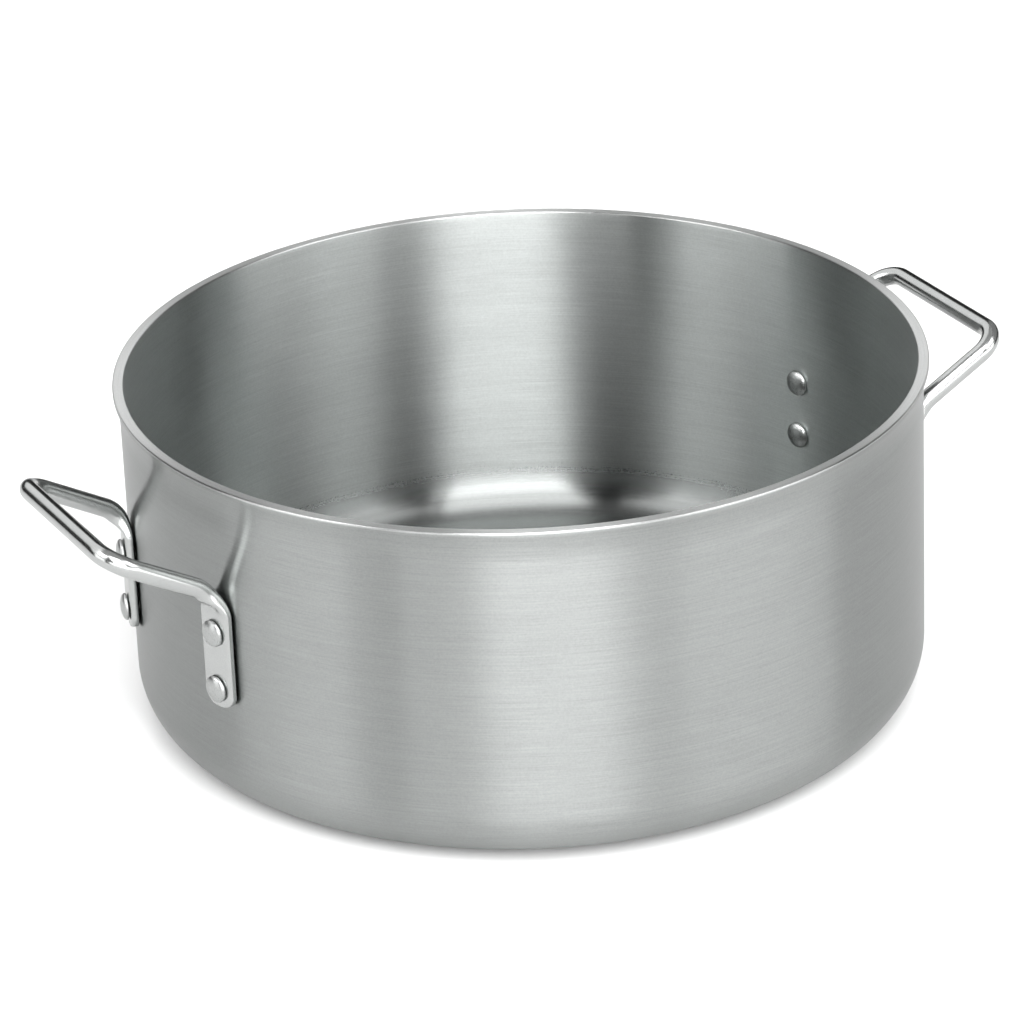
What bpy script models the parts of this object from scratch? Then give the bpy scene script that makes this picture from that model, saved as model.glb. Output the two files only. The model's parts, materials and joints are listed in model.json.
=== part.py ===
"""Aluminium brazier pot: a low wide drawn shell with a thickened rim, two fixed
loop handles bent from round rod, and eight solid rivets.

Frame: +Z up, origin at the centre of the base underside, handles along -X and +X.
All lengths in metres.
"""
import math

import bmesh
import bpy
from mathutils import Matrix, Vector

# ---- driving dimensions -------------------------------------------------
POT_HEIGHT = 0.180
RIM_RADIUS = 0.2032           # outside of the thickened rim, a 16 inch pot
RIM_WIDTH = 0.0055            # flat annulus on top of the rim
RIM_BAND = 0.0016             # upright edge of the rim
RIM_FLARE = 0.016             # height over which the rim blends into the wall
WALL_THICKNESS = 0.0030
WALL_RADIUS = 0.2005          # outside of the straight wall
FLOOR_THICKNESS = 0.0045
CORNER_RADIUS = 0.030         # outside radius between wall and base
INNER_CORNER_RADIUS = 0.031
LIP_ROUND = 0.0007
SHELL_STEPS = 72
FLARE_STEPS = 4
CORNER_STEPS = 5              # on each of the two corner arcs between floor and wall

ROD_DIAMETER = 0.0096
LEG_ANGLE = math.radians(15.0)     # each leg to the side of the handle's middle plane
BEND_DROP = 0.0552            # rod axis at the leg bend, below the rim
ARM_REACH = 0.0508            # leg line to grip line, level
ARM_RISE = 0.0287             # leg bend to grip, upwards
GRIP_HALF = 0.0538            # middle plane to the arm line at the grip
BEND_RADIUS = 0.016
GRIP_CORNER_RADIUS = 0.014
PLATE_WIDTH = 0.0200          # flattened leg
PLATE_THICKNESS = 0.0045
PLATE_END_ROUND = 0.0065
PLATE_END_DROP = 0.1165       # lowest point of the leg, below the rim
FLATTEN_LENGTH = 0.014        # stretch over which the rod becomes the plate
FLAT_BELOW_BEND = 0.003       # the plate ends this far under the bend
PLATE_SQUARENESS = 4.5        # superellipse power of the flattened leg's section
ROD_SQUARENESS = 2.0          # the same for the round rod
RING_POINTS = 16
BEND_STEPS = 6
PLATE_END_STEPS = (0.0, 0.12, 0.45, 1.0)   # rings along the rounded end, as shares of it

RIVET_DROPS = {"upper": 0.0772, "lower": 0.1072}   # rivet axes below the rim
SHANK_RADIUS = 0.0032
HEAD_RADIUS = 0.0068
HEAD_HEIGHT = 0.0034
HEAD_EDGE = 0.0008            # short upright edge under the dome
RIVET_STEPS = 20
DOME_RINGS = 4

GAP = 0.0003                  # clearance between neighbouring pieces
HEAD_GAP = 0.0005             # under the flat inner heads, on the curved wall
DRILL_LENGTH = 0.03           # of the rivet holes' cutters, through wall and leg
WELD_DISTANCE = 0.00001
SHELL_SHARP_ANGLE = math.radians(30.0)
SMALL_SHARP_ANGLE = math.radians(40.0)     # on handles and rivets

HANDLE_TURNS = {"left": math.pi, "right": 0.0}
LEG_SIDES = {"back": 1.0, "front": -1.0}

# ---- metals: colour and roughness ----------------------------------------
SHELL_METAL = ((0.58, 0.60, 0.60), 0.32)
HANDLE_METAL = ((0.72, 0.73, 0.73), 0.14)
RIVET_METAL = ((0.66, 0.68, 0.68), 0.22)


# ---- materials ----------------------------------------------------------
def make_material(name, metal):
    """A plain metal material."""
    colour, roughness = metal
    material = bpy.data.materials.new(name)
    material.use_nodes = True
    shader = material.node_tree.nodes["Principled BSDF"]
    shader.inputs["Base Color"].default_value = (*colour, 1.0)
    shader.inputs["Metallic"].default_value = 1.0
    shader.inputs["Roughness"].default_value = roughness
    return material


# ---- small helpers ------------------------------------------------------
def finish_mesh(bm, name, sharp_angle):
    """Turn a bmesh into a smooth-shaded mesh with outward faces."""
    bmesh.ops.recalc_face_normals(bm, faces=bm.faces)
    mesh = bpy.data.meshes.new(name)
    bm.to_mesh(mesh)
    bm.free()
    mesh.shade_smooth()
    mesh.set_sharp_from_angle(angle=sharp_angle)
    return mesh


def add_object(name, mesh, material=None):
    """Link a new object for a mesh."""
    obj = bpy.data.objects.new(name, mesh)
    if material and not mesh.materials:
        mesh.materials.append(material)
    bpy.context.scene.collection.objects.link(obj)
    return obj


def add_cut(obj, cutter):
    """Subtract a cutter from an object with an exact Boolean."""
    cutter.hide_render = True
    cutter.display_type = "WIRE"
    modifier = obj.modifiers.new("rivet_holes", "BOOLEAN")
    modifier.operation = "DIFFERENCE"
    modifier.solver = "EXACT"
    modifier.object = cutter


def arc_points(centre, radius, start, end, count):
    """Points (r, z) on an arc, both ends included, angles in radians."""
    points = []
    for i in range(count + 1):
        angle = start + (end - start) * i / count
        x = centre[0] + radius * math.cos(angle)
        z = centre[1] + radius * math.sin(angle)
        points.append((x, z))
    return points


def spin_profile(points, steps):
    """Turn an open (r, z) profile with both ends on the axis into a closed solid."""
    bm = bmesh.new()
    verts = [bm.verts.new((r, 0.0, z)) for r, z in points]
    edges = [bm.edges.new(pair) for pair in zip(verts, verts[1:])]
    bmesh.ops.spin(bm, geom=verts + edges, axis=(0, 0, 1), cent=(0, 0, 0),
                   angle=2 * math.pi, steps=steps, use_merge=True)
    bmesh.ops.remove_doubles(bm, verts=bm.verts, dist=WELD_DISTANCE)
    return bm


# ---- pot shell ----------------------------------------------------------
def rim_flare_points():
    """Outer rim from its upright edge down into the wall, a hollow flare."""
    top = POT_HEIGHT - LIP_ROUND - RIM_BAND
    points = []
    for i in range(FLARE_STEPS + 1):
        t = i / FLARE_STEPS
        swell = (RIM_RADIUS - WALL_RADIUS) * (1.0 - t) ** 2
        points.append((WALL_RADIUS + swell, top - RIM_FLARE * t))
    return points


def shell_profile():
    """Closed section of the pot, from the inside of the floor round to its underside."""
    inner_wall = WALL_RADIUS - WALL_THICKNESS
    inner_lip = RIM_RADIUS - RIM_WIDTH
    inner_centre = (inner_wall - INNER_CORNER_RADIUS, FLOOR_THICKNESS + INNER_CORNER_RADIUS)
    outer_centre = (WALL_RADIUS - CORNER_RADIUS, CORNER_RADIUS)
    points = [(0.0, FLOOR_THICKNESS)]
    points += arc_points(inner_centre, INNER_CORNER_RADIUS, -math.pi / 2, 0.0, CORNER_STEPS)
    points.append((inner_lip, POT_HEIGHT - LIP_ROUND))
    points.append((inner_lip + LIP_ROUND, POT_HEIGHT))
    points.append((RIM_RADIUS - LIP_ROUND, POT_HEIGHT))
    points.append((RIM_RADIUS, POT_HEIGHT - LIP_ROUND))
    points += rim_flare_points()
    points += arc_points(outer_centre, CORNER_RADIUS, 0.0, -math.pi / 2, CORNER_STEPS)
    points.append((0.0, 0.0))
    return points


def build_shell(material):
    """The drawn pot, before its rivet holes."""
    mesh = finish_mesh(spin_profile(shell_profile(), SHELL_STEPS), "pot_shell", SHELL_SHARP_ANGLE)
    return add_object("pot_shell", mesh, material)


# ---- handles ------------------------------------------------------------
def corner_arc(before, corner, after, radius, count):
    """Points of a fillet between two straight runs that meet at a corner."""
    back = (before - corner).normalized()
    ahead = (after - corner).normalized()
    half = back.angle(ahead) / 2
    middle = (back + ahead).normalized()
    centre = corner + middle * (radius / math.sin(half))
    start = corner + back * (radius / math.tan(half)) - centre
    normal = start.cross(-back).normalized()
    sweep = math.pi - 2 * half
    turned = [Matrix.Rotation(sweep * i / count, 3, normal) @ start for i in range(count + 1)]
    return [centre + point for point in turned]


def rod_path():
    """Rod axis from the back leg's lower end to the middle of the grip.

    The handle's own frame: X outwards, Y along the grip, Z up, pot axis at X = 0.
    """
    leg_line = WALL_RADIUS + GAP + ROD_DIAMETER / 2
    leg_x = leg_line * math.cos(LEG_ANGLE)
    leg_y = leg_line * math.sin(LEG_ANGLE)
    bend_z = POT_HEIGHT - BEND_DROP
    grip_z = bend_z + ARM_RISE
    grip_x = leg_x + ARM_REACH
    foot = Vector((leg_x, leg_y, POT_HEIGHT - PLATE_END_DROP))
    bend = Vector((leg_x, leg_y, bend_z))
    corner = Vector((grip_x, GRIP_HALF, grip_z))
    middle = Vector((grip_x, 0.0, grip_z))
    path = [foot + Vector((0, 0, PLATE_END_ROUND * share)) for share in PLATE_END_STEPS]
    first_arc = corner_arc(foot, bend, corner, BEND_RADIUS, BEND_STEPS)
    path.append(first_arc[0] - Vector((0, 0, FLAT_BELOW_BEND)))
    path += first_arc
    path += corner_arc(bend, corner, middle, GRIP_CORNER_RADIUS, BEND_STEPS)
    path.append(middle)
    return path


def path_frames(path):
    """Tangent and normal at each path point; the normal starts square to the wall."""
    normal = Vector((math.cos(LEG_ANGLE), math.sin(LEG_ANGLE), 0.0))
    frames = []
    previous = Vector((0, 0, 1))
    for i in range(len(path)):
        low = path[max(i - 1, 0)]
        high = path[min(i + 1, len(path) - 1)]
        tangent = (high - low).normalized()
        if i == len(path) - 1:
            tangent = Vector((0, -1, 0))
        normal = previous.rotation_difference(tangent) @ normal
        normal = (normal - tangent * normal.dot(tangent)).normalized()
        frames.append((tangent, normal))
        previous = tangent
    return frames


def path_lengths(path):
    """Running length along the path."""
    lengths = [0.0]
    for a, b in zip(path, path[1:]):
        lengths.append(lengths[-1] + (b - a).length)
    return lengths


def section_shape(length, flat_end):
    """Half width, half thickness and squareness of the section at a running length."""
    radius = ROD_DIAMETER / 2
    t = min(max((length - flat_end) / FLATTEN_LENGTH, 0.0), 1.0)
    blend = t * t * (3 - 2 * t)
    half_width = PLATE_WIDTH / 2 + (radius - PLATE_WIDTH / 2) * blend
    half_thickness = PLATE_THICKNESS / 2 + (radius - PLATE_THICKNESS / 2) * blend
    power = PLATE_SQUARENESS + (ROD_SQUARENESS - PLATE_SQUARENESS) * blend
    if length < PLATE_END_ROUND:
        inset = 1.0 - length / PLATE_END_ROUND
        half_width -= PLATE_END_ROUND * (1.0 - math.sqrt(1.0 - inset * inset))
    return half_width, half_thickness, power


def section_ring(bm, centre, across, normal, shape):
    """One ring of vertices, a superellipse in the plane square to the rod."""
    half_width, half_thickness, power = shape
    ring = []
    for k in range(RING_POINTS):
        angle = 2 * math.pi * (k + 0.5) / RING_POINTS
        c, s = math.cos(angle), math.sin(angle)
        u = math.copysign(abs(c) ** (2 / power), c) * half_width
        v = math.copysign(abs(s) ** (2 / power), s) * half_thickness
        ring.append(bm.verts.new(centre + across * u + normal * v))
    return ring


def handle_half():
    """Half of a handle, open at the middle plane, as a bmesh."""
    path = rod_path()
    frames = path_frames(path)
    lengths = path_lengths(path)
    flat_end = lengths[len(PLATE_END_STEPS)]
    bm = bmesh.new()
    rings = []
    for point, (tangent, normal), length in zip(path, frames, lengths):
        shape = section_shape(length, flat_end)
        centre = point - normal * (ROD_DIAMETER / 2 - shape[1])
        rings.append(section_ring(bm, centre, tangent.cross(normal), normal, shape))
    for low, high in zip(rings, rings[1:]):
        for k in range(RING_POINTS):
            j = (k + 1) % RING_POINTS
            bm.faces.new((low[k], low[j], high[j], high[k]))
    bm.faces.new(rings[0])
    return bm


def handle_mesh():
    """A whole handle, its half mirrored and welded at the middle plane."""
    bm = handle_half()
    copy = bmesh.ops.duplicate(bm, geom=bm.verts[:] + bm.edges[:] + bm.faces[:])
    copied = [item for item in copy["geom"] if isinstance(item, bmesh.types.BMVert)]
    bmesh.ops.scale(bm, vec=(1, -1, 1), verts=copied)
    bmesh.ops.remove_doubles(bm, verts=bm.verts, dist=WELD_DISTANCE)
    return finish_mesh(bm, "handle", SMALL_SHARP_ANGLE)


def build_handle(side, mesh, material):
    """One handle, turned to its side of the pot."""
    handle = add_object("handle_" + side, mesh, material)
    handle.rotation_euler = (0, 0, HANDLE_TURNS[side])
    return handle


# ---- rivets -------------------------------------------------------------
def dome_points(base, outwards):
    """Rivet head section (r, z) from the rim of the head to its crown."""
    points = [(HEAD_RADIUS, base)]
    rise = HEAD_HEIGHT - HEAD_EDGE
    for i in range(DOME_RINGS + 1):
        angle = math.pi / 2 * i / DOME_RINGS
        r = HEAD_RADIUS * math.cos(angle) if i < DOME_RINGS else 0.0
        points.append((r, base + outwards * (HEAD_EDGE + rise * math.sin(angle))))
    return points


def rivet_mesh():
    """Solid rivet along Z, Z = 0 on the pot's outer wall, outer head at +Z."""
    outer_seat = GAP + PLATE_THICKNESS + GAP
    inner_seat = -WALL_THICKNESS - HEAD_GAP
    outer = dome_points(outer_seat, 1.0)
    inner = dome_points(inner_seat, -1.0)
    profile = outer[::-1] + [(SHANK_RADIUS, outer_seat), (SHANK_RADIUS, inner_seat)] + inner
    return finish_mesh(spin_profile(profile, RIVET_STEPS), "rivet", SMALL_SHARP_ANGLE)


def rivet_places():
    """Name, bearing and height of every rivet."""
    places = []
    for side, turn in HANDLE_TURNS.items():
        facing = 1.0 if side == "right" else -1.0
        for leg, sign in LEG_SIDES.items():
            for level, drop in RIVET_DROPS.items():
                name = "rivet_" + side + "_" + leg + "_" + level
                places.append((name, turn + facing * sign * LEG_ANGLE, POT_HEIGHT - drop))
    return places


def place_on_wall(bearing, height):
    """Matrix that stands the Z axis square out of the wall at a bearing and height."""
    spot = Vector((WALL_RADIUS * math.cos(bearing), WALL_RADIUS * math.sin(bearing), height))
    turn = Matrix.Rotation(bearing, 4, "Z") @ Matrix.Rotation(math.pi / 2, 4, "Y")
    return Matrix.Translation(spot) @ turn


def build_rivets(material):
    """Eight rivets that share one mesh."""
    mesh = rivet_mesh()
    for name, bearing, height in rivet_places():
        add_object(name, mesh, material).matrix_world = place_on_wall(bearing, height)


def build_hole_cutter():
    """Eight short drills, one on each rivet axis, as one hidden cutter."""
    drill_radius = SHANK_RADIUS + GAP
    bm = bmesh.new()
    for _, bearing, height in rivet_places():
        bmesh.ops.create_cone(bm, cap_ends=True, segments=RIVET_STEPS, radius1=drill_radius,
                              radius2=drill_radius, depth=DRILL_LENGTH,
                              matrix=place_on_wall(bearing, height))
    return add_object("rivet_drills", finish_mesh(bm, "rivet_drills", SMALL_SHARP_ANGLE))


# ---- whole object -------------------------------------------------------
def clear_scene():
    """Remove whatever the scene holds."""
    for obj in list(bpy.data.objects):
        bpy.data.objects.remove(obj, do_unlink=True)


def build_all():
    """Build every piece of the pot."""
    clear_scene()
    shell_metal = make_material("satin_aluminium", SHELL_METAL)
    handle_metal = make_material("polished_aluminium", HANDLE_METAL)
    rivet_metal = make_material("rivet_aluminium", RIVET_METAL)
    drills = build_hole_cutter()
    shell = build_shell(shell_metal)
    add_cut(shell, drills)
    mesh = handle_mesh()
    for side in HANDLE_TURNS:
        add_cut(build_handle(side, mesh, handle_metal), drills)
    build_rivets(rivet_metal)


build_all()
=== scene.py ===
"""Looks of the brazier pot: a brushed aluminium shell, two satin rod handles and
eight peened rivets, in a plain pale studio."""
import json
import math

import bmesh
import bpy
from mathutils import Matrix, Vector

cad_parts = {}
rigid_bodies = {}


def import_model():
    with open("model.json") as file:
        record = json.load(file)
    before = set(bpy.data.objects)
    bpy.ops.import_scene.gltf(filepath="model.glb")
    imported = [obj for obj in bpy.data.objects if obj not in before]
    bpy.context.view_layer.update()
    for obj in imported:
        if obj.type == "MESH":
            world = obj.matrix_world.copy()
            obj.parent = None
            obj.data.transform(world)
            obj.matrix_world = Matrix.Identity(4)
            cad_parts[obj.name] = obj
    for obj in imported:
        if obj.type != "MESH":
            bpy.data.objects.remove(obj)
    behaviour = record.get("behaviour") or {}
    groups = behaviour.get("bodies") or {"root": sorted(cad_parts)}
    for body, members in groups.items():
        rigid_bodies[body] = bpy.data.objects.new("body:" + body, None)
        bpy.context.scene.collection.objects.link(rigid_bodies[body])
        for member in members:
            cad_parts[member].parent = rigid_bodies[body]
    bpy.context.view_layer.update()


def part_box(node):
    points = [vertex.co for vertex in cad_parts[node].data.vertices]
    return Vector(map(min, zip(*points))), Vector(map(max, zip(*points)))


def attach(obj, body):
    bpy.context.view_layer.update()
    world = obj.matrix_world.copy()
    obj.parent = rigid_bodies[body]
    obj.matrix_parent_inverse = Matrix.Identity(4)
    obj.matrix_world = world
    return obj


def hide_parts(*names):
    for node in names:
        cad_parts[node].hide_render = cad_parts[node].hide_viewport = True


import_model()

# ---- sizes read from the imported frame, in metres -------------------------
POT_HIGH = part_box("pot_shell")[1]
POT_HEIGHT = POT_HIGH[2]
RIM_RADIUS = POT_HIGH[0]

# ---- sizes shared with the part's source --------------------------------
RIM_WIDTH = 0.0055             # flat ring on top of the rim
RIM_BAND = 0.0016              # upright edge of the rim
RIM_FLARE = 0.016              # height over which the rim blends into the wall
WALL_THICKNESS = 0.0030
RIM_OVERHANG = 0.0027          # of the rim past the straight wall
WALL_RADIUS = RIM_RADIUS - RIM_OVERHANG
FLOOR_THICKNESS = 0.0045
CORNER_RADIUS = 0.030          # outside, between wall and base
INNER_CORNER_RADIUS = 0.031
LIP_ROUND = 0.0007

ROD_DIAMETER = 0.0096
LEG_ANGLE = math.radians(15.0) # each leg to the side of the handle's middle plane
BEND_DROP = 0.0552             # rod axis at the leg bend, below the rim
ARM_REACH = 0.0508             # leg line to grip line, level
ARM_RISE = 0.0287              # leg bend to grip, upwards
GRIP_HALF = 0.0538             # middle plane to the arm line at the grip
BEND_RADIUS = 0.016
GRIP_CORNER_RADIUS = 0.014
PLATE_WIDTH = 0.0200           # flattened leg
PLATE_THICKNESS = 0.0045
PLATE_END_ROUND = 0.0065
PLATE_END_DROP = 0.1165        # lowest point of the leg, below the rim
PLATE_SQUARENESS = 4.5         # superellipse power of the flattened leg's section
ROD_SQUARENESS = 2.0           # the same for the round rod
FLATTEN_LENGTH = 0.014         # stretch over which the rod becomes the plate
FLAT_BELOW_BEND = 0.003        # the plate ends this far under the bend
HANDLE_GAP = 0.0003            # between wall and leg, and between leg and rivet head

RIVET_DROPS = {"upper": 0.0772, "lower": 0.1072}   # rivet axes below the rim
SHANK_RADIUS = 0.0032
HEAD_RADIUS = 0.0068
HEAD_HEIGHT = 0.0034
HEAD_EDGE = 0.0008             # height at which the dome starts
HEAD_LIP = 0.0004              # height of the bevel under the head's edge
HEAD_UNDERCUT = 0.0006         # how far that bevel runs in under the head
INNER_HEAD_GAP = 0.0002        # between the inside wall and the inner head

HANDLE_TURNS = {"left": math.pi, "right": 0.0}
LEG_SIDES = {"back": 1.0, "front": -1.0}

# ---- fineness of the visual meshes ---------------------------------------
SHELL_STEPS = 360
FLOOR_RINGS = 8                # inside and underneath
INNER_CORNER_STEPS = 48
INNER_WALL_RINGS = 48
LIP_STEPS = 6
RIM_TOP_RINGS = 4
FLARE_STEPS = 14
OUTER_WALL_RINGS = 12
OUTER_CORNER_STEPS = 24
ROD_POINTS = 48                # round the rod
PLATE_END_RINGS = 14
PLATE_RINGS = 16
FLATTENING_RINGS = 4
BEND_STEPS = 24
ARM_RINGS = 14                 # on the arm, and on half the grip
WELD_DISTANCE = 0.00001
RIVET_STEPS = 64
DOME_RINGS = 16

# ---- camera ---------------------------------------------------------------
VIEW_AZIMUTH = math.radians(-27.02)
VIEW_ELEVATION = math.radians(25.05)
VIEW_ROLL = math.radians(-2.35)
VIEW_DISTANCE = 2.4932
VIEW_TARGET = Vector((-0.0205, -0.0245, 0.1106))
VIEW_LENS = 175.8
SENSOR_WIDTH = 36.0
CAMERA_REACH = 50.0

# ---- tones and roughness ----------------------------------------------------------
# one aluminium in lit and shaded copies: the outside tone is painted shade, darker than the inside
# because of how light falls on each side
OUTSIDE_SHADED_TONE = (0.330, 0.341, 0.336)
INSIDE_LIT_TONE = (0.572, 0.594, 0.586)
# painted shade: the inside corner and the floor are darkened to stand in for the shade low in the pot
BOTTOM_PAINTED_SHADE = (0.125, 0.130, 0.128)
RIM_TONE = (0.56, 0.57, 0.565)
ROD_TONE = (0.490, 0.500, 0.495)
RIVET_TONE = (0.430, 0.440, 0.435)
SHELL_ROUGHNESS = 0.31
BOTTOM_ROUGHNESS = 0.20
ROD_ROUGHNESS = 0.19
RIVET_ROUGHNESS = 0.32
SHELL_ANISOTROPY = 1.0
STREAK_TURN = 0.25             # a quarter turn: highlights stretch up the wall
PAPER_ROUGHNESS = 0.9
PAPER_TONES = (0.86, 0.89)     # darkest and lightest in the mottle, as the camera sees the floor
PAPER_REFLECTED_TONE = 0.62    # as the pot's reflections see it
BACKGROUND_SEEN = 1.0
BACKGROUND_REFLECTED = 0.02

# ---- grain of the metals and the floor --------------------------------------------
# noises: cycles per metre, octaves, and how much each octave adds
NOISES = {
    "shell_cloud": (26.0, 4.0, 0.6),
    "shell_speck": (900.0, 2.0, 0.6),
    "rod_cloud": (60.0, 4.0, 0.6),
    "rod_marks": (1100.0, 3.0, 0.6),
    "rivet_dents": (320.0, 2.0, 0.5),
    "rivet_grain": (2200.0, 3.0, 0.6),
    "floor_mottle": (3.0, 2.0, 0.5),
}
# brush lines: cycles per metre along them and across them, octaves, and octave weight
BRUSHES = {
    "fine": (38.0, 2600.0, 3.0, 0.6),
    "broad": (9.0, 420.0, 3.0, 0.55),
}
SHELL_GRAIN = {"fine": 0.45, "broad": 0.12, "shell_cloud": 0.13, "shell_speck": 0.30}
ROD_GRAIN = {"rod_cloud": 0.5, "rod_marks": 0.5}
TONE_NOISE = (0.35, 0.65)      # noise values that give the darkest and the lightest tone
ROUGHNESS_NOISE = (0.3, 0.7)   # noise values that give the smoothest and the roughest metal
# how far the grain changes each metal: tone up and down, roughness down, roughness up
SHELL_CHANGE = (0.12, 0.03, 0.03)
ROD_CHANGE = (0.06, 0.03, 0.04)
RIVET_CHANGE = (0.12, 0.06, 0.06)
# bumps: strength and depth in metres
SHELL_BUMP = (0.12, 0.0002)
SHELL_CORNER_BUMP = 0.01       # strength in the inside corner and on the floor
ROD_BUMP = (0.10, 0.0004)
RIVET_BUMP = (0.25, 0.0009)
INWARDS_BLEND = 0.02           # half width of the change from the inside's lit tone to the outside's painted shade
BOTTOM_BLEND = 0.4             # share of the inside corner's height that has the floor's dark painted shade

# ---- softboxes: azimuth from the camera's own, elevation, width and height seen
# from the pot (all in degrees), and brightness ------------------------------------
SOFTBOXES = {
    "front_core": (5.5, 46.0, 33.0, 60.0, 4.4),
    "front_halo": (7.0, 44.0, 40.0, 56.0, 2.0),
    "front_low": (5.0, 12.0, 78.0, 22.0, 2.6),
    "left_low": (-68.0, 12.0, 36.0, 24.0, 2.1),
    "right_low": (66.0, 12.0, 46.0, 24.0, 2.7),
    "left_high": (-66.0, 46.0, 28.0, 30.0, 4.6),
    "right_high": (69.0, 46.0, 34.0, 30.0, 3.7),
    "overhead": (0.0, 90.0, 60.0, 60.0, 0.45),
    "back": (180.0, 26.0, 70.0, 20.0, 1.3),
    "handle_left_fill": (-124.0, 44.0, 74.0, 44.0, 1.2),
    "handle_right_fill": (126.0, 38.0, 68.0, 48.0, 0.3),
    "floor_fill": (180.0, 60.0, 60.0, 50.0, 1.0),
}
# lights kept to some of the pieces, picked by how the pieces' names start
LIT_PIECES = {
    "handle_left_fill": ("loop_", "stud_"),
    "handle_right_fill": ("loop_", "stud_"),
    "floor_fill": ("floor",),
    "back": ("shell", "floor"),
}
SOFTBOX_DISTANCE = 5.0
SOFTBOX_AIM = Vector((0.0, 0.0, 0.1))

# ---- studio floor ---------------------------------------------------------------
PAPER_HALF_WIDTH = 6.0
PAPER_CELLS = 8
PAPER_DROP = 0.0004            # keeps the paper clear of the pot's base


# ---- node helpers -----------------------------------------------------------
class Graph:
    """Short calls for building one material's or world's nodes."""

    def __init__(self, tree):
        self.tree = tree

    def node(self, kind, **properties):
        """Add a node and set its properties."""
        made = self.tree.nodes.new(kind)
        for name, value in properties.items():
            setattr(made, name, value)
        return made

    def put(self, socket, value):
        """Link a socket, or set its value."""
        if isinstance(value, bpy.types.NodeSocket):
            self.tree.links.new(value, socket)
        else:
            socket.default_value = value

    def math(self, operation, a, b=0.0):
        """One Math node."""
        made = self.node("ShaderNodeMath", operation=operation)
        self.put(made.inputs[0], a)
        self.put(made.inputs[1], b)
        return made.outputs[0]

    def remap(self, value, low, high, to_low, to_high):
        """Clamped linear Map Range."""
        made = self.node("ShaderNodeMapRange")
        for index, item in enumerate((value, low, high, to_low, to_high)):
            self.put(made.inputs[index], item)
        return made.outputs["Result"]

    def mix_colour(self, factor, a, b, blend="MIX"):
        """Mix two colours."""
        made = self.node("ShaderNodeMix", data_type="RGBA", blend_type=blend)
        self.put(made.inputs["Factor"], factor)
        for name, value in (("A", a), ("B", b)):
            socket = next(s for s in made.inputs if s.name == name and s.type == "RGBA")
            self.put(socket, value)
        return next(s for s in made.outputs if s.type == "RGBA")

    def scale_colour(self, colour, factor):
        """Colour times a value."""
        return self.mix_colour(1.0, colour, self.combine(factor, factor, factor), "MULTIPLY")

    def mean(self, parts):
        """Weighted mean of (value, weight) parts whose weights add up to 1."""
        total = 0.0
        for value, weight in parts:
            total = self.math("ADD", total, self.math("MULTIPLY", value, weight))
        return total

    def noise(self, vector, scale, detail, rough):
        """Noise texture value."""
        made = self.node("ShaderNodeTexNoise")
        self.put(made.inputs["Vector"], vector)
        self.put(made.inputs["Scale"], scale)
        self.put(made.inputs["Detail"], detail)
        self.put(made.inputs["Roughness"], rough)
        return made.outputs["Fac"]

    def combine(self, x, y, z):
        """Vector from three values."""
        made = self.node("ShaderNodeCombineXYZ")
        for socket, value in zip(made.inputs, (x, y, z)):
            self.put(socket, value)
        return made.outputs[0]

    def bump(self, height, strength, distance):
        """Bump node."""
        made = self.node("ShaderNodeBump")
        self.put(made.inputs["Height"], height)
        self.put(made.inputs["Strength"], strength)
        self.put(made.inputs["Distance"], distance)
        return made.outputs[0]


def opaque(tone):
    """A colour's three values, or one grey value, as an RGBA colour."""
    red, green, blue = tone if isinstance(tone, tuple) else (tone, tone, tone)
    return red, green, blue, 1.0


def new_metal(name, colour, roughness, anisotropic=0.0, rotation=0.0):
    """Principled metal; returns the material, its graph and its shader."""
    material = bpy.data.materials.new(name)
    material.use_nodes = True
    shader = material.node_tree.nodes["Principled BSDF"]
    shader.inputs["Base Color"].default_value = opaque(colour)
    shader.inputs["Metallic"].default_value = 1.0
    shader.inputs["Roughness"].default_value = roughness
    shader.inputs["Anisotropic"].default_value = anisotropic
    shader.inputs["Anisotropic Rotation"].default_value = rotation
    return material, Graph(material.node_tree), shader


def place_on_piece(graph):
    """The surface point in the piece's own metres."""
    return graph.node("ShaderNodeTexCoord").outputs["Object"]


def split_place(graph):
    """X, Y and Z of the surface point."""
    split = graph.node("ShaderNodeSeparateXYZ")
    graph.put(split.inputs[0], place_on_piece(graph))
    return split.outputs


def axis_distance(graph):
    """Distance from the pot's axis, and height, at a surface point."""
    x, y, z = split_place(graph)
    squares = graph.math("ADD", graph.math("MULTIPLY", x, x), graph.math("MULTIPLY", y, y))
    return graph.math("SQRT", squares), z


def facing_inwards(graph):
    """1 where the surface faces the middle of the pot, 0 where it faces away."""
    place = graph.node("ShaderNodeTexCoord")
    from_middle = graph.node("ShaderNodeVectorMath", operation="SUBTRACT")
    graph.put(from_middle.inputs[0], place.outputs["Object"])
    graph.put(from_middle.inputs[1], (0.0, 0.0, POT_HEIGHT / 2))
    facing = graph.node("ShaderNodeVectorMath", operation="DOT_PRODUCT")
    graph.put(facing.inputs[0], place.outputs["Normal"])
    graph.put(facing.inputs[1], from_middle.outputs["Vector"])
    return graph.remap(facing.outputs["Value"], -INWARDS_BLEND, INWARDS_BLEND, 1.0, 0.0)


def brush_lines(graph, name):
    """Lines in rings round the pot's axis, on wall and floor alike."""
    along, across, detail, rough = BRUSHES[name]
    x, y, _ = split_place(graph)
    radius, height = axis_distance(graph)
    run = graph.math("MULTIPLY", graph.math("ADD", height, radius), across)
    rings = graph.combine(graph.math("MULTIPLY", x, along), graph.math("MULTIPLY", y, along), run)
    return graph.noise(rings, 1.0, detail, rough)


def grains(graph, shares):
    """The named noises and brush lines of a metal, and their weighted mean."""
    made = {}
    for name in shares:
        if name in BRUSHES:
            made[name] = brush_lines(graph, name)
        else:
            made[name] = graph.noise(place_on_piece(graph), *NOISES[name])
    return made, graph.mean([(made[name], share) for name, share in shares.items()])


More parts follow.
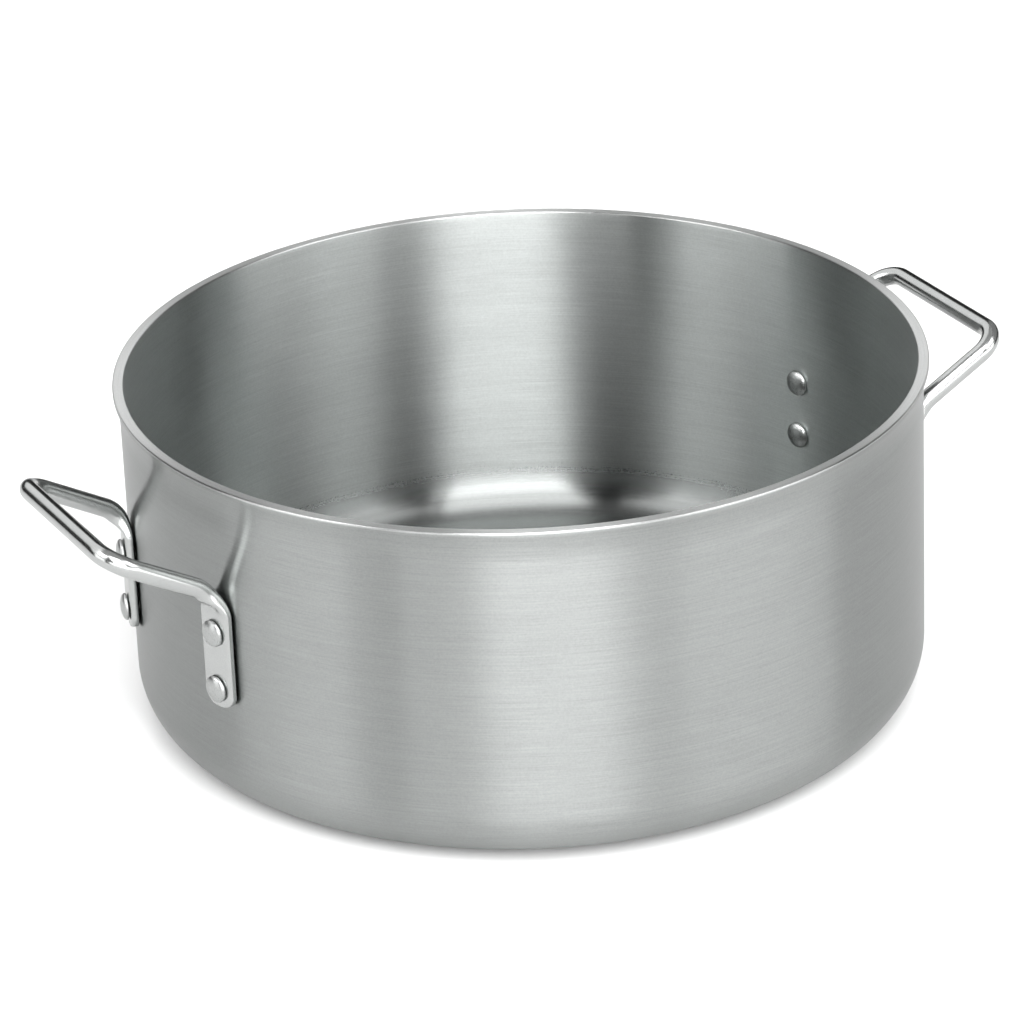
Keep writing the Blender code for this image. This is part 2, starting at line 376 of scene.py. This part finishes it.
def weather(graph, shader, base, roughness, tone, grain, change):
    """Vary a metal's colour with the tone value and its roughness with the grain value."""
    tone_change, smoother, rougher = change
    shade = graph.remap(tone, *TONE_NOISE, 1.0 - tone_change, 1.0 + tone_change)
    graph.put(shader.inputs["Base Color"], graph.scale_colour(base, shade))
    shift = graph.remap(grain, *ROUGHNESS_NOISE, -smoother, rougher)
    graph.put(shader.inputs["Roughness"], graph.math("ADD", roughness, shift))


# ---- materials ----------------------------------------------------------------
def shell_metal():
    """Satin aluminium brushed in fine rings; the outside is painted darker than the inside as painted
    shade, the inside corner and floor carry a dark painted shade, and the lip has its own tone.
    """
    material, graph, shader = new_metal("brushed_shell", INSIDE_LIT_TONE, SHELL_ROUGHNESS,
                                        SHELL_ANISOTROPY, STREAK_TURN)
    _, _, height = split_place(graph)
    inside = facing_inwards(graph)
    corner_top = FLOOR_THICKNESS + INNER_CORNER_RADIUS
    bottom_top = FLOOR_THICKNESS + BOTTOM_BLEND * INNER_CORNER_RADIUS
    # mask of the dark painted shade in the inside corner and on the floor; it also makes the metal
    # there smoother
    shaded_glossy_bottom = graph.math("MULTIPLY", graph.remap(height, bottom_top, corner_top, 1.0, 0.0), inside)
    lip = graph.remap(height, POT_HEIGHT - 2 * LIP_ROUND, POT_HEIGHT - LIP_ROUND, 0.0, 1.0)
    # painted shade: the outside is darker than the inside, standing in for how light falls on each
    # side
    base = graph.mix_colour(inside, opaque(OUTSIDE_SHADED_TONE), opaque(INSIDE_LIT_TONE))
    # painted shade in the inside corner and on the floor
    base = graph.mix_colour(shaded_glossy_bottom, base, opaque(BOTTOM_PAINTED_SHADE))
    base = graph.mix_colour(lip, base, opaque(RIM_TONE))
    roughness = graph.remap(shaded_glossy_bottom, 0.0, 1.0, SHELL_ROUGHNESS, BOTTOM_ROUGHNESS)
    made, grain = grains(graph, SHELL_GRAIN)
    weather(graph, shader, base, roughness, grain, grain, SHELL_CHANGE)
    low = graph.remap(height, corner_top, corner_top + INNER_CORNER_RADIUS, 1.0, 0.0)
    strength, depth = SHELL_BUMP
    smoothed = graph.remap(graph.math("MULTIPLY", low, inside), 0.0, 1.0, strength, SHELL_CORNER_BUMP)
    graph.put(shader.inputs["Normal"], graph.bump(made["fine"], smoothed, depth))
    return material


def rod_metal():
    """Satin rod with faint waves and small handling marks."""
    material, graph, shader = new_metal("polished_rod", ROD_TONE, ROD_ROUGHNESS)
    made, grain = grains(graph, ROD_GRAIN)
    weather(graph, shader, opaque(ROD_TONE), ROD_ROUGHNESS, grain, made["rod_marks"], ROD_CHANGE)
    graph.put(shader.inputs["Normal"], graph.bump(made["rod_cloud"], *ROD_BUMP))
    return material


def rivet_metal():
    """Peened rivet heads with small hammer marks."""
    material, graph, shader = new_metal("peened_rivet", RIVET_TONE, RIVET_ROUGHNESS)
    place = place_on_piece(graph)
    dents = graph.noise(place, *NOISES["rivet_dents"])
    grain = graph.noise(place, *NOISES["rivet_grain"])
    weather(graph, shader, opaque(RIVET_TONE), RIVET_ROUGHNESS, grain, grain, RIVET_CHANGE)
    graph.put(shader.inputs["Normal"], graph.bump(dents, *RIVET_BUMP))
    return material


def floor_paper():
    """Pale matt floor with a faint mottle, darker in the pot's reflections than to the camera."""
    material = bpy.data.materials.new("studio_floor")
    material.use_nodes = True
    graph = Graph(material.node_tree)
    shader = material.node_tree.nodes["Principled BSDF"]
    mottle = graph.noise(place_on_piece(graph), *NOISES["floor_mottle"])
    darkest, lightest = PAPER_TONES
    pale = graph.mix_colour(mottle, opaque(darkest), opaque(lightest))
    seen = graph.node("ShaderNodeLightPath").outputs["Is Camera Ray"]
    paper = graph.mix_colour(seen, opaque(PAPER_REFLECTED_TONE), pale)
    graph.put(shader.inputs["Base Color"], paper)
    shader.inputs["Roughness"].default_value = PAPER_ROUGHNESS
    return material


# ---- mesh helpers ---------------------------------------------------------------
def arc_points(centre, radius, start, end, count):
    """Points (r, z) on an arc, both ends included."""
    points = []
    for i in range(count + 1):
        angle = start + (end - start) * i / count
        points.append((centre[0] + radius * math.cos(angle), centre[1] + radius * math.sin(angle)))
    return points


def straight_points(start, end, count):
    """Points between two (r, z) points, both ends left out."""
    points = []
    for i in range(1, count):
        t = i / count
        points.append((start[0] + (end[0] - start[0]) * t, start[1] + (end[1] - start[1]) * t))
    return points


def finish_mesh(name, bm):
    """Smooth-shaded mesh from a closed bmesh, its faces pointing out."""
    bmesh.ops.recalc_face_normals(bm, faces=bm.faces)
    mesh = bpy.data.meshes.new(name)
    bm.to_mesh(mesh)
    bm.free()
    mesh.shade_smooth()
    return mesh


def link_mesh(name, mesh, material):
    """Put a mesh in the scene as an object with one material."""
    mesh.materials.append(material)
    obj = bpy.data.objects.new(name, mesh)
    bpy.context.scene.collection.objects.link(obj)
    return obj


def turn_profile(name, points, steps):
    """Closed turned mesh from an open (r, z) profile whose two ends lie on the axis."""
    bm = bmesh.new()
    rings = []
    angles = [2 * math.pi * k / steps for k in range(steps)]
    for r, z in points[1:-1]:
        rings.append([bm.verts.new((r * math.cos(angle), r * math.sin(angle), z)) for angle in angles])
    first = bm.verts.new((0, 0, points[0][1]))
    last = bm.verts.new((0, 0, points[-1][1]))
    for k in range(steps):
        j = (k + 1) % steps
        bm.faces.new((first, rings[0][k], rings[0][j]))
        bm.faces.new((last, rings[-1][j], rings[-1][k]))
        for low, high in zip(rings, rings[1:]):
            bm.faces.new((low[k], high[k], high[j], low[j]))
    return finish_mesh(name, bm)


# ---- shell ------------------------------------------------------------------------
def rim_flare_points():
    """Outer rim from its upright edge down into the wall."""
    top = POT_HEIGHT - LIP_ROUND - RIM_BAND
    points = []
    for i in range(FLARE_STEPS + 1):
        t = i / FLARE_STEPS
        swell = (RIM_RADIUS - WALL_RADIUS) * (1.0 - t) ** 2
        points.append((WALL_RADIUS + swell, top - RIM_FLARE * t))
    return points


def shell_profile():
    """Closed section of the pot from the inside of the floor round to its underside."""
    inner_wall = WALL_RADIUS - WALL_THICKNESS
    inner_lip = RIM_RADIUS - RIM_WIDTH
    inner_centre = (inner_wall - INNER_CORNER_RADIUS, FLOOR_THICKNESS + INNER_CORNER_RADIUS)
    outer_centre = (WALL_RADIUS - CORNER_RADIUS, CORNER_RADIUS)
    lip_low = POT_HEIGHT - LIP_ROUND
    floor_edge = (inner_centre[0], FLOOR_THICKNESS)
    lip_inner = (inner_lip + LIP_ROUND, lip_low)
    lip_outer = (RIM_RADIUS - LIP_ROUND, lip_low)
    points = [(0.0, FLOOR_THICKNESS)]
    points += straight_points((0.0, FLOOR_THICKNESS), floor_edge, FLOOR_RINGS)
    points += arc_points(inner_centre, INNER_CORNER_RADIUS, -math.pi / 2, 0.0, INNER_CORNER_STEPS)
    points += straight_points((inner_wall, inner_centre[1]), (inner_lip, lip_low), INNER_WALL_RINGS)
    points += arc_points(lip_inner, LIP_ROUND, math.pi, math.pi / 2, LIP_STEPS)
    points += straight_points((lip_inner[0], POT_HEIGHT), (lip_outer[0], POT_HEIGHT), RIM_TOP_RINGS)
    points += arc_points(lip_outer, LIP_ROUND, math.pi / 2, 0.0, LIP_STEPS)
    points += rim_flare_points()
    points += straight_points(points[-1], (WALL_RADIUS, CORNER_RADIUS), OUTER_WALL_RINGS)
    points += arc_points(outer_centre, CORNER_RADIUS, 0.0, -math.pi / 2, OUTER_CORNER_STEPS)
    points += straight_points((outer_centre[0], 0.0), (0.0, 0.0), FLOOR_RINGS)
    points.append((0.0, 0.0))
    return points


def add_shell(material):
    """The pot's shell."""
    mesh = turn_profile("shell", shell_profile(), SHELL_STEPS)
    shell = link_mesh("shell", mesh, material)
    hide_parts("pot_shell")
    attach(shell, "root")


# ---- handles ------------------------------------------------------------------------
def corner_arc(before, corner, after, radius, count):
    """Points of a fillet between two straight runs that meet at a corner."""
    back = (before - corner).normalized()
    ahead = (after - corner).normalized()
    half = back.angle(ahead) / 2
    centre = corner + (back + ahead).normalized() * (radius / math.sin(half))
    start = corner + back * (radius / math.tan(half)) - centre
    normal = start.cross(-back).normalized()
    sweep = math.pi - 2 * half
    turned = [Matrix.Rotation(sweep * i / count, 3, normal) @ start for i in range(count + 1)]
    return [centre + point for point in turned]


def spread(start, end, count):
    """Points between two vectors, the first included."""
    return [start.lerp(end, i / count) for i in range(count)]


def rod_path():
    """Rod axis from one leg's lower end to the middle of the grip, and the flat part's length."""
    leg_line = WALL_RADIUS + HANDLE_GAP + ROD_DIAMETER / 2
    leg_x = leg_line * math.cos(LEG_ANGLE)
    leg_y = leg_line * math.sin(LEG_ANGLE)
    bend_z = POT_HEIGHT - BEND_DROP
    grip_z = bend_z + ARM_RISE
    grip_x = leg_x + ARM_REACH
    foot = Vector((leg_x, leg_y, POT_HEIGHT - PLATE_END_DROP))
    bend = Vector((leg_x, leg_y, bend_z))
    corner = Vector((grip_x, GRIP_HALF, grip_z))
    middle = Vector((grip_x, 0.0, grip_z))
    path = []
    for i in range(PLATE_END_RINGS):
        climb = PLATE_END_ROUND * (1 - math.cos(math.pi / 2 * i / PLATE_END_RINGS))
        path.append(foot + Vector((0, 0, climb)))
    bend_arc = corner_arc(foot, bend, corner, BEND_RADIUS, BEND_STEPS)
    flat_top = bend_arc[0] - Vector((0, 0, FLAT_BELOW_BEND))
    path += spread(foot + Vector((0, 0, PLATE_END_ROUND)), flat_top, PLATE_RINGS)
    path += spread(flat_top, bend_arc[0], FLATTENING_RINGS)
    grip_arc = corner_arc(bend, corner, middle, GRIP_CORNER_RADIUS, BEND_STEPS)
    path += bend_arc[:-1]
    path += spread(bend_arc[-1], grip_arc[0], ARM_RINGS)
    path += grip_arc[:-1]
    path += spread(grip_arc[-1], middle, ARM_RINGS)
    path.append(middle)
    return path, (flat_top - foot).length


def path_frames(path):
    """Tangent and normal at each path point; the normal starts square to the wall."""
    normal = Vector((math.cos(LEG_ANGLE), math.sin(LEG_ANGLE), 0.0))
    frames = []
    previous = Vector((0, 0, 1))
    last = len(path) - 1
    for i in range(len(path)):
        tangent = (path[min(i + 1, last)] - path[max(i - 1, 0)]).normalized()
        if i == last:
            tangent = Vector((0, -1, 0))
        normal = previous.rotation_difference(tangent) @ normal
        normal = (normal - tangent * normal.dot(tangent)).normalized()
        frames.append((tangent, normal))
        previous = tangent
    return frames


def section_shape(length, flat_end):
    """Half width, half thickness and squareness of the rod's section at a running length."""
    radius = ROD_DIAMETER / 2
    t = min(max((length - flat_end) / FLATTEN_LENGTH, 0.0), 1.0)
    blend = t * t * (3 - 2 * t)
    half_width = PLATE_WIDTH / 2 + (radius - PLATE_WIDTH / 2) * blend
    half_thickness = PLATE_THICKNESS / 2 + (radius - PLATE_THICKNESS / 2) * blend
    power = PLATE_SQUARENESS + (ROD_SQUARENESS - PLATE_SQUARENESS) * blend
    if length < PLATE_END_ROUND:
        inset = 1.0 - length / PLATE_END_ROUND
        half_width -= PLATE_END_ROUND * (1.0 - math.sqrt(max(1.0 - inset * inset, 0.0)))
    return half_width, half_thickness, power


def section_ring(bm, centre, across, normal, shape):
    """One ring of vertices, a superellipse square to the rod."""
    half_width, half_thickness, power = shape
    ring = []
    for k in range(ROD_POINTS):
        angle = 2 * math.pi * (k + 0.5) / ROD_POINTS
        c, s = math.cos(angle), math.sin(angle)
        u = math.copysign(abs(c) ** (2 / power), c) * half_width
        v = math.copysign(abs(s) ** (2 / power), s) * half_thickness
        ring.append(bm.verts.new(centre + across * u + normal * v))
    return ring


def handle_mesh(name):
    """A whole handle: half of it lofted along the rod, then mirrored."""
    path, flat_end = rod_path()
    bm = bmesh.new()
    rings = []
    length = 0.0
    previous = path[0]
    for point, (tangent, normal) in zip(path, path_frames(path)):
        length += (point - previous).length
        previous = point
        shape = section_shape(length, flat_end)
        centre = point - normal * (ROD_DIAMETER / 2 - shape[1])
        rings.append(section_ring(bm, centre, tangent.cross(normal), normal, shape))
    for low, high in zip(rings, rings[1:]):
        for k in range(ROD_POINTS):
            j = (k + 1) % ROD_POINTS
            bm.faces.new((low[k], low[j], high[j], high[k]))
    bm.faces.new(rings[0])
    copy = bmesh.ops.duplicate(bm, geom=bm.verts[:] + bm.edges[:] + bm.faces[:])
    copied = [item for item in copy["geom"] if isinstance(item, bmesh.types.BMVert)]
    bmesh.ops.scale(bm, vec=(1, -1, 1), verts=copied)
    bmesh.ops.remove_doubles(bm, verts=bm.verts, dist=WELD_DISTANCE)
    return finish_mesh(name, bm)


def add_handles(material):
    """Both handles."""
    for side, turn in HANDLE_TURNS.items():
        name = "loop_" + side
        mesh = handle_mesh(name)
        mesh.transform(Matrix.Rotation(turn, 4, "Z"))
        handle = link_mesh(name, mesh, material)
        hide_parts("handle_" + side)
        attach(handle, "root")


# ---- rivets ---------------------------------------------------------------------------
def dome_points(base, outwards):
    """Rivet head section from the rim of the head to its crown."""
    points = [(HEAD_RADIUS - HEAD_UNDERCUT, base), (HEAD_RADIUS, base + outwards * HEAD_LIP)]
    rise = HEAD_HEIGHT - HEAD_EDGE
    for i in range(DOME_RINGS + 1):
        angle = math.pi / 2 * i / DOME_RINGS
        r = HEAD_RADIUS * math.cos(angle) if i < DOME_RINGS else 0.0
        points.append((r, base + outwards * (HEAD_EDGE + rise * math.sin(angle))))
    return points


def rivet_profile():
    """Solid rivet along Z, Z = 0 on the pot's outer wall, outer head at +Z."""
    outer_seat = HANDLE_GAP + PLATE_THICKNESS + HANDLE_GAP
    inner_seat = -WALL_THICKNESS - INNER_HEAD_GAP
    outer = dome_points(outer_seat, 1.0)
    inner = dome_points(inner_seat, -1.0)
    return outer[::-1] + [(SHANK_RADIUS, outer_seat), (SHANK_RADIUS, inner_seat)] + inner


def rivet_place(bearing, height):
    """Matrix that puts a rivet on the wall, its axis pointing straight out."""
    spot = Vector((WALL_RADIUS * math.cos(bearing), WALL_RADIUS * math.sin(bearing), height))
    outwards = Matrix.Rotation(math.pi / 2, 4, "Y")
    return Matrix.Translation(spot) @ Matrix.Rotation(bearing, 4, "Z") @ outwards


def add_rivet(ending, bearing, height, material):
    """One rivet, replacing the CAD node with the same ending to its name."""
    name = "stud_" + ending
    mesh = turn_profile(name, rivet_profile(), RIVET_STEPS)
    mesh.transform(rivet_place(bearing, height))
    stud = link_mesh(name, mesh, material)
    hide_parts("rivet_" + ending)
    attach(stud, "root")


def add_rivets(material):
    """Eight rivets: two through each leg of each handle; back legs are on the +Y side."""
    for side, turn in HANDLE_TURNS.items():
        facing = 1.0 if side == "right" else -1.0
        for leg, sign in LEG_SIDES.items():
            bearing = turn + facing * sign * LEG_ANGLE
            for level, drop in RIVET_DROPS.items():
                add_rivet("_".join((side, leg, level)), bearing, POT_HEIGHT - drop, material)


# ---- studio ------------------------------------------------------------------------------
def direction(azimuth, elevation):
    """Unit vector from the pot outwards; azimuth 0 is the -Y side and grows towards +X."""
    level = math.cos(elevation)
    return Vector((math.sin(azimuth) * level, -math.cos(azimuth) * level, math.sin(elevation)))


def add_floor(material):
    """A wide pale floor."""
    bm = bmesh.new()
    bmesh.ops.create_grid(bm, x_segments=PAPER_CELLS, y_segments=PAPER_CELLS, size=PAPER_HALF_WIDTH)
    mesh = bpy.data.meshes.new("floor")
    bm.to_mesh(mesh)
    bm.free()
    floor = link_mesh("floor", mesh, material)
    floor.location.z = -PAPER_DROP


def lit_collection(name, starts):
    """The pieces that a light is kept to, as a collection."""
    collection = bpy.data.collections.new(name + "_pieces")
    for obj in bpy.context.scene.objects:
        if obj.name.startswith(starts):
            collection.objects.link(obj)
    return collection


def add_softboxes():
    """Rectangular softboxes round the pot, hidden from the camera.

    A lamp's power is pi times its brightness times its area.
    """
    for name, (bearing, elevation, width, height, brightness) in SOFTBOXES.items():
        light = bpy.data.lights.new(name, "AREA")
        light.shape = "RECTANGLE"
        light.size = 2 * SOFTBOX_DISTANCE * math.tan(math.radians(width) / 2)
        light.size_y = 2 * SOFTBOX_DISTANCE * math.tan(math.radians(height) / 2)
        light.energy = math.pi * brightness * light.size * light.size_y
        lamp = bpy.data.objects.new(name, light)
        away = direction(VIEW_AZIMUTH + math.radians(bearing), math.radians(elevation))
        lamp.location = SOFTBOX_AIM + away * SOFTBOX_DISTANCE
        lamp.rotation_euler = away.to_track_quat("Z", "Y").to_euler()
        lamp.visible_camera = False
        if name in LIT_PIECES:
            lamp.light_linking.receiver_collection = lit_collection(name, LIT_PIECES[name])
        bpy.context.scene.collection.objects.link(lamp)


def set_world():
    """White behind the pot, near darkness in its reflections."""
    world = bpy.data.worlds.new("studio")
    bpy.context.scene.world = world
    world.use_nodes = True
    graph = Graph(world.node_tree)
    back = world.node_tree.nodes["Background"]
    back.inputs["Color"].default_value = opaque(1.0)
    seen = graph.node("ShaderNodeLightPath").outputs["Is Camera Ray"]
    strength = graph.remap(seen, 0.0, 1.0, BACKGROUND_REFLECTED, BACKGROUND_SEEN)
    graph.put(back.inputs["Strength"], strength)


def add_camera():
    """Camera on the photograph's line of sight, no shift, no depth of field."""
    back = direction(VIEW_AZIMUTH, VIEW_ELEVATION)
    camera = bpy.data.cameras.new("camera")
    camera.lens = VIEW_LENS
    camera.sensor_width = SENSOR_WIDTH
    camera.clip_end = CAMERA_REACH
    eye = bpy.data.objects.new("camera", camera)
    turn = back.to_track_quat("Z", "Y").to_matrix().to_4x4() @ Matrix.Rotation(VIEW_ROLL, 4, "Z")
    eye.matrix_world = Matrix.Translation(VIEW_TARGET + back * VIEW_DISTANCE) @ turn
    bpy.context.scene.collection.objects.link(eye)
    bpy.context.scene.camera = eye


bpy.context.scene.view_settings.view_transform = "Standard"
add_shell(shell_metal())
add_handles(rod_metal())
add_rivets(rivet_metal())
add_floor(floor_paper())
add_softboxes()
set_world()
add_camera()
